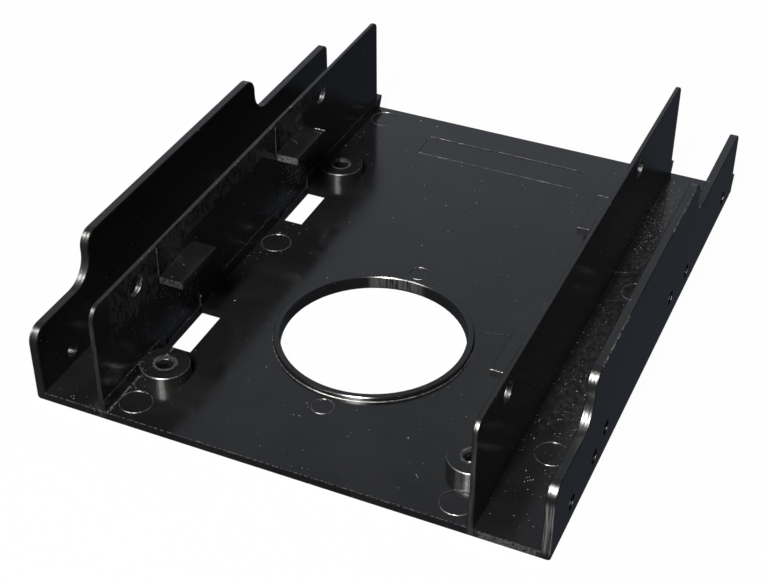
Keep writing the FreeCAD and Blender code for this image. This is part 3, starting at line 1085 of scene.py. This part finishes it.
class Bench:
    """Operators that model a piece by hand, with places and sizes in millimetres."""

    CREST_SHARE: Triple = (0.98, 0.12, 1.0)
    CUT_SHARE = 0.97

    @staticmethod
    def metres(place: Triple) -> Triple:
        """Turn a place in millimetres into metres."""
        return (place[0] * MM, place[1] * MM, place[2] * MM)

    @staticmethod
    def clear() -> None:
        """Deselect everything, since an operator acts on all that is selected."""
        bpy.ops.object.select_all(action="DESELECT")

    @classmethod
    def ring(cls, name: str, centre: Triple, section: Section, sides: int) -> bpy.types.Object:
        """Model a closed ring with a three-cornered section.

        Args:
            name: the piece's name.
            centre: the middle of the ring, on the surface that carries it.
            section: radius and height of the section's inner foot, of its crest and of its outer foot.
            sides: how many corners go round.

        Returns:
            The ring, with its place in its mesh.
        """
        cls.clear()
        middle = cls.metres(centre)
        radius, level = section[0]
        start = cls.metres((centre[0], centre[1], centre[2] + level))
        bpy.ops.mesh.primitive_circle_add(vertices=sides, radius=radius * MM, location=start)
        piece = bpy.context.object
        piece.name = name
        bpy.ops.object.mode_set(mode="EDIT")
        bpy.ops.mesh.select_all(action="SELECT")
        for before, after in zip(section, section[1:]):
            rise = (0.0, 0.0, (after[1] - before[1]) * MM)
            bpy.ops.mesh.extrude_edges_move(TRANSFORM_OT_translate={"value": rise})
            spread = after[0] / before[0]
            bpy.ops.transform.resize(value=(spread, spread, 1.0), center_override=middle)
        bpy.ops.mesh.select_all(action="DESELECT")
        bpy.ops.mesh.select_non_manifold()
        bpy.ops.mesh.bridge_edge_loops()
        cls.settle()
        return piece

    @classmethod
    def ridge(cls, name: str, length: float, width: float, height: float, cuts: int) -> bpy.types.Object:
        """Model a long low ridge with a pointed section, along X and on the origin.

        Args:
            name: the piece's name.
            length: how long it is, along X.
            width: how wide its foot is, along Y.
            height: how high its crest is.
            cuts: how many cuts divide it along its length.

        Returns:
            The ridge.
        """
        cls.clear()
        bpy.ops.mesh.primitive_plane_add(size=1.0, location=ORIGIN)
        piece = bpy.context.object
        piece.name = name
        bpy.ops.object.mode_set(mode="EDIT")
        bpy.ops.mesh.select_all(action="SELECT")
        bpy.ops.transform.resize(value=(length * MM, width * MM, 1.0), center_override=ORIGIN)
        bpy.ops.mesh.extrude_region_move(TRANSFORM_OT_translate={"value": (0.0, 0.0, height * MM)})
        bpy.ops.transform.resize(value=cls.CREST_SHARE, center_override=ORIGIN)
        cut_length = length * cls.CUT_SHARE * MM
        pitch = cut_length / (cuts + 1)
        for index in range(1, cuts + 1):
            bpy.ops.mesh.select_all(action="SELECT")
            cut = pitch * index - cut_length / 2
            bpy.ops.mesh.bisect(plane_co=(cut, 0.0, 0.0), plane_no=(1.0, 0.0, 0.0))
        cls.settle()
        return piece

    @classmethod
    def pick(cls, piece: bpy.types.Object) -> None:
        """Select one piece alone and make it the active one.

        Args:
            piece: the piece.
        """
        cls.clear()
        bpy.context.view_layer.objects.active = piece
        piece.select_set(True)

    @classmethod
    def put(cls, piece: bpy.types.Object, centre: Triple, turn: Triple = ORIGIN) -> None:
        """Turn a piece that was modelled on the origin and put it in its place.

        Args:
            piece: the piece.
            centre: where its origin goes, in millimetres.
            turn: how far it is turned about X, Y and Z, in degrees.
        """
        cls.pick(piece)
        piece.location = cls.metres(centre)
        piece.rotation_euler = [math.radians(angle) for angle in turn]
        bpy.ops.object.transform_apply(location=True, rotation=True, scale=True)

    @staticmethod
    def settle() -> None:
        """Turn the faces of the piece in edit mode outwards and put its place in its mesh."""
        bpy.ops.mesh.select_all(action="SELECT")
        bpy.ops.mesh.normals_make_consistent(inside=False)
        bpy.ops.object.mode_set(mode="OBJECT")
        bpy.ops.object.transform_apply(location=True, rotation=True, scale=True)

    @classmethod
    def roughen(cls, piece: bpy.types.Object, amount: float, seed: int) -> None:
        """Move every corner of a piece a little, by chance.

        Args:
            piece: the piece.
            amount: how far a corner may move, in millimetres.
            seed: what fixes the chance.
        """
        cls.pick(piece)
        bpy.ops.object.mode_set(mode="EDIT")
        bpy.ops.mesh.select_all(action="SELECT")
        bpy.ops.transform.vertex_random(offset=amount * MM, seed=seed)
        bpy.ops.object.mode_set(mode="OBJECT")

    @classmethod
    def tear(cls, pieces: list[bpy.types.Object], amount: float, seed: int) -> None:
        """Roughen several pieces, each in its own way.

        Args:
            pieces: the pieces.
            amount: how far a corner may move, in millimetres.
            seed: what fixes the chance for the first of them.
        """
        for number, piece in enumerate(pieces):
            cls.roughen(piece, amount, seed + number)

    @classmethod
    def copy(cls, piece: bpy.types.Object, offset: Triple = ORIGIN) -> bpy.types.Object:
        """Copy a piece, with a mesh of its own, to another place.

        Args:
            piece: the piece.
            offset: how far away the copy goes, in millimetres.

        Returns:
            The copy, with its place in its mesh.
        """
        cls.pick(piece)
        bpy.ops.object.duplicate_move(TRANSFORM_OT_translate={"value": cls.metres(offset)})
        bpy.ops.object.transform_apply(location=True)
        return bpy.context.object

    @classmethod
    def spread(cls, piece: bpy.types.Object, spots: list[Pair]) -> list[bpy.types.Object]:
        """Copy a piece that stands on the first of several spots to the others.

        Args:
            piece: the piece.
            spots: the places along X and Y, in millimetres.

        Returns:
            The piece and its copies.
        """
        x, y = spots[0]
        return [piece, *(cls.copy(piece, (spot[0] - x, spot[1] - y, 0.0)) for spot in spots[1:])]

    @classmethod
    def stand(
        cls, ridge: bpy.types.Object, face: float, along: Pair, heights: Pair
    ) -> list[bpy.types.Object]:
        """Copy a ridge and stand it upright on both inner walls, with its crest towards the bay.

        Args:
            ridge: the ridge, modelled on the origin.
            face: how far from the middle of the tray the ridge's foot is, in millimetres.
            along: the places along each wall.
            heights: the heights of the ridge's ends.

        Returns:
            The ridge and its copies.
        """
        spots = [(side.value, place) for side in Side for place in along]
        ridges = [ridge, *(cls.copy(ridge) for _ in spots[1:])]
        middle = sum(heights) / 2
        for piece, (side, place) in zip(ridges, spots):
            cls.put(piece, (side * face, place, middle), (0.0, -QUARTER_TURN * side, 0.0))
        return ridges

    @classmethod
    def join(cls, pieces: list[bpy.types.Object]) -> bpy.types.Object:
        """Make one piece of several.

        Args:
            pieces: the pieces.

        Returns:
            The one piece, under the name of the first.
        """
        cls.clear()
        for piece in pieces:
            piece.select_set(True)
        bpy.context.view_layer.objects.active = pieces[0]
        bpy.ops.object.join()
        return pieces[0]


@dataclass(frozen=True)
class PinMarkFlash:
    """Thin flash round the flat marks of the mould's ejector pins on the floor."""

    radius: float = 3.0
    centre_radius: float = 2.0
    across: float = 31.7
    channel_across: float = 42.42
    along: Triple = (-56.5, -0.6, 55.3)
    channel_along: Pair = (-38.4, 13.6)
    centre_offset: float = 22.6
    height: float = 0.075
    width: float = 0.20
    crest_share: float = 0.4
    overlap: float = 0.02
    inner_sink: float = 0.06
    outer_sink: float = 0.02
    sides: int = 72
    tearing: float = 0.018
    seed: int = 11

    def build(self) -> bpy.types.Object:
        """Model one ring of each size and copy it to the other marks.

        Returns:
            The rings as one piece.
        """
        marks = [(side.value * self.across, along) for side in Side for along in self.along]
        marks += [
            (side.value * self.channel_across, along) for side in Side for along in self.channel_along
        ]
        rings = self._rings("pin_mark_flash", self.radius, marks)
        middles = [(0.0, OPENING_ALONG - self.centre_offset), (0.0, OPENING_ALONG + self.centre_offset)]
        rings += self._rings("centre_pin_mark_flash", self.centre_radius, middles)
        return Bench.join(rings)

    def _rings(self, name: str, radius: float, marks: list[Pair]) -> list[bpy.types.Object]:
        """Model one ring and copy it to each mark.

        Args:
            name: the name of the first ring.
            radius: the mark's radius.
            marks: the marks' places on the floor.

        Returns:
            The rings.
        """
        section = (
            (radius - self.overlap, -self.inner_sink),
            (radius + self.width * self.crest_share, self.height),
            (radius + self.width, -self.outer_sink),
        )
        rings = Bench.spread(Bench.ring(name, (*marks[0], FLOOR), section, self.sides), marks)
        Bench.tear(rings, self.tearing, self.seed)
        return rings


@dataclass(frozen=True)
class InsertPanelFlash:
    """Two fine ridges along the edges of the mould's insert near the rear of the floor."""

    length: float = 37.4
    rows: Pair = (52.42, 44.85)
    width: float = 0.12
    height: float = 0.035
    sink: float = 0.01
    cuts: int = 60
    tearing: Pair = (0.009, 0.012)
    seed: int = 31

    def build(self) -> bpy.types.Object:
        """Model one ridge and copy it to the other edge.

        Returns:
            The two ridges as one piece.
        """
        ridge = Bench.ridge("insert_panel_flash", self.length, self.width, self.height, self.cuts)
        Bench.put(ridge, (0.0, self.rows[0], FLOOR - self.sink))
        ridges = Bench.spread(ridge, [(0.0, row) for row in self.rows])
        for number, (piece, amount) in enumerate(zip(ridges, self.tearing)):
            Bench.roughen(piece, amount, self.seed + number)
        return Bench.join(ridges)


@dataclass(frozen=True)
class ReliefEdgeFlash:
    """Fine upright ridges on the inner walls, at the front edge of the relief above each tab."""

    along: Pair = (-39.47, 8.03)
    heights: Pair = (17.9, 24.3)
    width: float = 0.22
    height: float = 0.13
    sink: float = 0.01
    cuts: int = 16
    tearing: float = 0.022
    seed: int = 41

    def build(self) -> bpy.types.Object:
        """Model one ridge and copy it to the other reliefs.

        Returns:
            The four ridges as one piece.
        """
        length = self.heights[1] - self.heights[0]
        ridge = Bench.ridge("relief_edge_flash", length, self.width, self.height, self.cuts)
        ridges = Bench.stand(ridge, BAY_FACE + self.sink, self.along, self.heights)
        Bench.tear(ridges, self.tearing, self.seed)
        return Bench.join(ridges)


@dataclass(frozen=True)
class ReliefRamps:
    """Shallow ramps in which the relief above each tab runs out at its rear."""

    relief_face: float = 35.70
    along: Pair = (-26.65, 20.85)
    heights: Pair = (17.75, 24.65)
    width: float = 6.0
    height: float = 0.24
    cuts: int = 4

    def build(self) -> bpy.types.Object:
        """Model one ramp, whose rear half is inside the wall, and copy it to the other reliefs.

        Returns:
            The four ramps as one piece.
        """
        length = self.heights[1] - self.heights[0]
        ramp = Bench.ridge("relief_ramps", length, self.width, self.height, self.cuts)
        return Bench.join(Bench.stand(ramp, self.relief_face, self.along, self.heights))


@dataclass(frozen=True)
class EdgeBurrs:
    """Torn burrs on the ends of the tabs and on the top of the left inner wall."""

    tab_spots: tuple[Pair, ...] = ((31.5, -39.26), (31.6, 20.74), (31.5, 8.24), (-31.5, 20.74))
    tab_length: float = 2.3
    wall_spot: Triple = (-35.76, 19.5, 24.64)
    wall_length: float = 7.3
    width: float = 0.28
    height: float = 0.08
    wall_height: float = 0.16
    sink: float = 0.01
    cuts: int = 12
    wall_cuts: int = 30
    tearing: float = 0.07
    wall_tearing: float = 0.14
    seed: int = 81
    wall_seed: int = 91

    def build(self) -> bpy.types.Object:
        """Model the tabs' burr and the wall's burr and copy the first to the other tabs.

        Returns:
            The burrs as one piece.
        """
        burr = Bench.ridge("edge_burrs", self.tab_length, self.width, self.height, self.cuts)
        burrs = [burr, *(Bench.copy(burr) for _ in self.tab_spots[1:])]
        for piece, spot in zip(burrs, self.tab_spots):
            Bench.put(piece, (*spot, TAB_TOP - self.sink))
        Bench.tear(burrs, self.tearing, self.seed)
        top = Bench.ridge("wall_burr", self.wall_length, self.width, self.wall_height, self.wall_cuts)
        Bench.put(top, self.wall_spot, (0.0, 0.0, QUARTER_TURN))
        Bench.roughen(top, self.wall_tearing, self.wall_seed)
        return Bench.join([*burrs, top])


@dataclass(frozen=True)
class ScrewMouthBurrs:
    """Torn burrs that fill the bevels at the mouths of the four screw bosses."""

    hole_radius: float = 1.72
    mouth_radius: float = 2.36
    crest_width: float = 0.10
    crest_sink: float = 0.01
    depth: float = 0.58
    sides: int = 60
    tearing: float = 0.055
    seed: int = 51

    def build(self) -> bpy.types.Object:
        """Model one burr and copy it to the other bosses, each torn in its own way.

        Returns:
            The four burrs as one piece.
        """
        spots = [(side.value * BOSS_ACROSS, along) for side in Side for along in BOSS_ALONG]
        section = (
            (self.hole_radius, -self.depth),
            (self.hole_radius + self.crest_width, -self.crest_sink),
            (self.mouth_radius, 0.0),
        )
        burr = Bench.ring("screw_mouth_burrs", (*spots[0], BOSS_TOP), section, self.sides)
        burrs = Bench.spread(burr, spots)
        Bench.tear(burrs, self.tearing, self.seed)
        return Bench.join(burrs)


@dataclass(frozen=True)
class LipFlash:
    """The fine bead at the foot of the lip round the opening."""

    lip_radius: float = 19.4
    width: float = 0.22
    height: float = 0.12
    crest_offset: float = 0.02
    overlap: float = 0.06
    inner_sink: float = 0.05
    outer_sink: float = 0.02
    sides: int = 240
    tearing: float = 0.02
    seed: int = 71

    def build(self) -> bpy.types.Object:
        """Model the bead.

        Returns:
            The bead.
        """
        section = (
            (self.lip_radius - self.overlap, -self.inner_sink),
            (self.lip_radius + self.crest_offset, self.height),
            (self.lip_radius + self.width, -self.outer_sink),
        )
        bead = Bench.ring("lip_foot_bead", (0.0, OPENING_ALONG, FLOOR), section, self.sides)
        Bench.roughen(bead, self.tearing, self.seed)
        return bead


@dataclass(frozen=True)
class PhotoCamera:
    """The photograph's camera, fitted to the tray's edges."""

    position: Triple = (0.097172, -0.234989, 0.188326)
    azimuth: float = 23.987
    elevation: float = 36.758
    roll: float = 0.197
    focal_pixels: float = 1549.9
    image_width: int = 766
    sensor_width: float = 36.0
    near: float = 0.01

    def place(self) -> bpy.types.Object:
        """Put the camera in the scene and make it the scene's own.

        Returns:
            The camera.
        """
        lens = bpy.data.cameras.new("photo_camera")
        lens.sensor_width = self.sensor_width
        lens.lens = self.sensor_width * self.focal_pixels / self.image_width
        lens.clip_start = self.near
        camera = bpy.data.objects.new("photo_camera", lens)
        turn = Matrix.Rotation(math.radians(self.azimuth), 4, "Z")
        tilt = Matrix.Rotation(math.radians(QUARTER_TURN - self.elevation), 4, "X")
        roll = Matrix.Rotation(math.radians(self.roll), 4, "Z")
        camera.matrix_world = Matrix.Translation(self.position) @ turn @ tilt @ roll
        bpy.context.collection.objects.link(camera)
        bpy.context.scene.camera = camera
        return camera


@dataclass(frozen=True)
class Softbox:
    """A rectangular studio light that faces the tray."""

    name: str
    width: float
    height: float
    distance: float
    azimuth: float
    elevation: float
    brightness: float
    colour: Triple
    gloss_only: bool = False
    aim: Triple = (0.0, 0.0, 0.012)

    def place(self) -> bpy.types.Object:
        """Hang the light, with its azimuth counted from the front towards +X.

        Returns:
            The light.
        """
        lamp = bpy.data.lights.new(self.name, "AREA")
        lamp.shape = "RECTANGLE"
        lamp.size = self.width
        lamp.size_y = self.height
        lamp.energy = self.brightness * math.pi * self.width * self.height
        lamp.color = self.colour
        turn = Matrix.Rotation(math.radians(self.azimuth), 4, "Z")
        tilt = Matrix.Rotation(math.radians(QUARTER_TURN - self.elevation), 4, "X")
        reach = Matrix.Translation((0.0, 0.0, self.distance))
        light = bpy.data.objects.new(self.name, lamp)
        light.matrix_world = Matrix.Translation(self.aim) @ turn @ tilt @ reach
        light.visible_camera = False
        light.visible_diffuse = not self.gloss_only
        bpy.context.collection.objects.link(light)
        return light


@dataclass(frozen=True)
class Studio:
    """White table, dim room with a glow behind the tray, key light and panels that only gloss shows."""

    table_radius: float = 4.0
    table_corners: int = 96
    table_level: float = -0.00005
    wall_height: float = 4.0
    table_colour: Shade = (0.8, 0.8, 0.8, 1.0)
    white_share: float = 0.97
    room_colour: Triple = (0.040, 0.044, 0.052)
    ground_colour: Triple = (0.051, 0.057, 0.071)
    glow_colour: Triple = (0.48, 0.515, 0.58)
    glow_azimuth: float = 204.0
    glow_elevation: float = 15.0
    glow_inner: float = 8.0
    glow_outer: float = 42.0
    horizon: Pair = (-0.06, 0.0)
    key: Softbox = Softbox(
        name="key_softbox",
        width=0.10,
        height=0.36,
        distance=0.9,
        azimuth=2.0,
        elevation=46.0,
        brightness=98.0,
        colour=(1.0, 0.985, 0.95),
    )
    panels: tuple[Softbox, ...] = (
        Softbox(
            name="broad_panel",
            width=0.30,
            height=0.46,
            distance=0.93,
            azimuth=2.0,
            elevation=46.0,
            brightness=45.0,
            colour=(1.0, 0.985, 0.94),
            gloss_only=True,
        ),
        Softbox(
            name="streak_panel",
            width=0.11,
            height=0.36,
            distance=0.91,
            azimuth=4.0,
            elevation=42.0,
            brightness=110.0,
            colour=(1.0, 0.985, 0.90),
            gloss_only=True,
        ),
        Softbox(
            name="side_panel",
            width=0.24,
            height=0.34,
            distance=0.93,
            azimuth=-38.0,
            elevation=55.0,
            brightness=52.0,
            colour=(1.0, 0.985, 0.94),
            gloss_only=True,
        ),
    )

    def build(self) -> None:
        """Lay the table, light the room and hang the key light and the panels that only gloss shows."""
        bpy.context.scene.view_settings.view_transform = "Standard"
        self._lay_table()
        self._light_room()
        self.key.place()
        for panel in self.panels:
            panel.place()

    def _lay_table(self) -> None:
        """Model the table and the wall round it, white to the camera and unseen by the tray's gloss."""
        Bench.clear()
        bpy.ops.mesh.primitive_circle_add(
            vertices=self.table_corners,
            radius=self.table_radius,
            fill_type="NGON",
            location=(0.0, 0.0, self.table_level),
        )
        table = bpy.context.object
        table.name = "studio_table"
        bpy.ops.object.mode_set(mode="EDIT")
        bpy.ops.mesh.select_mode(type="FACE")
        bpy.ops.mesh.select_all(action="SELECT")
        bpy.ops.mesh.region_to_loop()
        bpy.ops.mesh.extrude_region_move(TRANSFORM_OT_translate={"value": (0.0, 0.0, self.wall_height)})
        bpy.ops.mesh.select_mode(type="VERT")
        bpy.ops.object.mode_set(mode="OBJECT")
        bpy.ops.object.transform_apply(location=True)
        table.visible_glossy = False
        table.visible_shadow = False
        table.visible_diffuse = False
        table.data.materials.append(self._table_finish())

    def _table_finish(self) -> bpy.types.Material:
        """Make the table's white, which keeps a faint shadow.

        Returns:
            The material.
        """
        material, wiring = new_material("white_table")
        path = wiring.place("ShaderNodeLightPath")
        seen = wiring.number("ADD", path.outputs["Is Camera Ray"], path.outputs["Is Glossy Ray"])
        seen = wiring.number("ADD", seen, path.outputs["Is Transmission Ray"], clamp=True)
        matt = wiring.place("ShaderNodeBsdfDiffuse")
        wiring.feed(matt.inputs["Color"], self.table_colour)
        white = wiring.place("ShaderNodeEmission")
        wiring.feed(white.inputs["Strength"], 1.0)
        both = wiring.place("ShaderNodeMixShader")
        wiring.feed(both.inputs[0], wiring.number("MULTIPLY", seen, self.white_share))
        wiring.feed(both.inputs[1], matt.outputs[0])
        wiring.feed(both.inputs[2], white.outputs[0])
        end = wiring.place("ShaderNodeOutputMaterial")
        wiring.feed(end.inputs["Surface"], both.outputs[0])
        return material

    def _light_room(self) -> None:
        """Set the world: a dim bluish room above a paler ground, with a soft glow behind the tray."""
        world = bpy.data.worlds.new("studio_room")
        world.use_nodes = True
        world.node_tree.nodes.clear()
        bpy.context.scene.world = world
        wiring = Wiring(world.node_tree)
        spot = wiring.place("ShaderNodeTexCoord")
        turn = math.radians(self.glow_azimuth)
        rise = math.radians(self.glow_elevation)
        axis = (math.sin(turn) * math.cos(rise), -math.cos(turn) * math.cos(rise), math.sin(rise))
        towards = wiring.vector("DOT_PRODUCT", spot.outputs["Generated"], axis)
        edge = math.cos(math.radians(self.glow_outer))
        core = math.cos(math.radians(self.glow_inner))
        glow = wiring.step(towards, edge, core)
        colour = wiring.blend(glow, (*self.room_colour, 1.0), (*self.glow_colour, 1.0))
        below = wiring.fade(wiring.split(spot.outputs["Generated"])[2], *self.horizon)
        colour = wiring.blend(below, colour, (*self.ground_colour, 1.0))
        light = wiring.place("ShaderNodeBackground")
        wiring.feed(light.inputs["Color"], colour)
        end = wiring.place("ShaderNodeOutputWorld")
        wiring.feed(end.inputs["Surface"], light.outputs[0])


class Tray:
    """The moulded tray, whose solid comes from the frame and keeps its shape, with its flash."""

    def __init__(self) -> None:
        """Find the tray in the frame."""
        self.solid: bpy.types.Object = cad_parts[TRAY_NODE]

    def dress(self, finish: bpy.types.Material) -> None:
        """Give every slot of the tray the finish."""
        for slot in self.solid.material_slots:
            slot.material = finish

    @staticmethod
    def add_flash(finish: bpy.types.Material) -> list[bpy.types.Object]:
        """Model the flash and burrs that the mould leaves.

        Args:
            finish: the material of the flash.

        Returns:
            The pieces, which ride on the tray.
        """
        makers = (
            PinMarkFlash(),
            InsertPanelFlash(),
            ReliefEdgeFlash(),
            ScrewMouthBurrs(),
            EdgeBurrs(),
            LipFlash(),
        )
        pieces = [maker.build() for maker in makers]
        for piece in pieces:
            Tray.attach(piece, finish)
        return pieces

    @staticmethod
    def add_ramps(finish: bpy.types.Material) -> bpy.types.Object:
        """Model the ramps of the reliefs.

        Args:
            finish: the tray's own material.

        Returns:
            The ramps, which ride on the tray.
        """
        ramps = ReliefRamps().build()
        Tray.attach(ramps, finish)
        return ramps

    @staticmethod
    def attach(piece: bpy.types.Object, finish: bpy.types.Material) -> None:
        """Give a piece its finish and let it ride on the tray.

        Args:
            piece: the piece.
            finish: its material.
        """
        piece.data.materials.clear()
        piece.data.materials.append(finish)
        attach(piece, BODY)


def main() -> None:
    """Build the studio, dress the tray and report each piece."""
    logging.basicConfig(level=logging.INFO, format="%(name)s: %(message)s")
    camera = PhotoCamera().place()
    LOG.info("camera %s placed", camera.name)
    Studio().build()
    LOG.info("studio laid out")
    effects = MouldEffects()
    tray = Tray()
    plastic = GlossBlackPlastic().make(effects)
    tray.dress(plastic)
    LOG.info("tray %s dressed", tray.solid.name)
    for piece in (tray.add_ramps(plastic), *tray.add_flash(FlashPlastic().make(effects))):
        LOG.info("piece %s has %d faces", piece.name, len(piece.data.polygons))


if __name__ == "__main__":
    main()
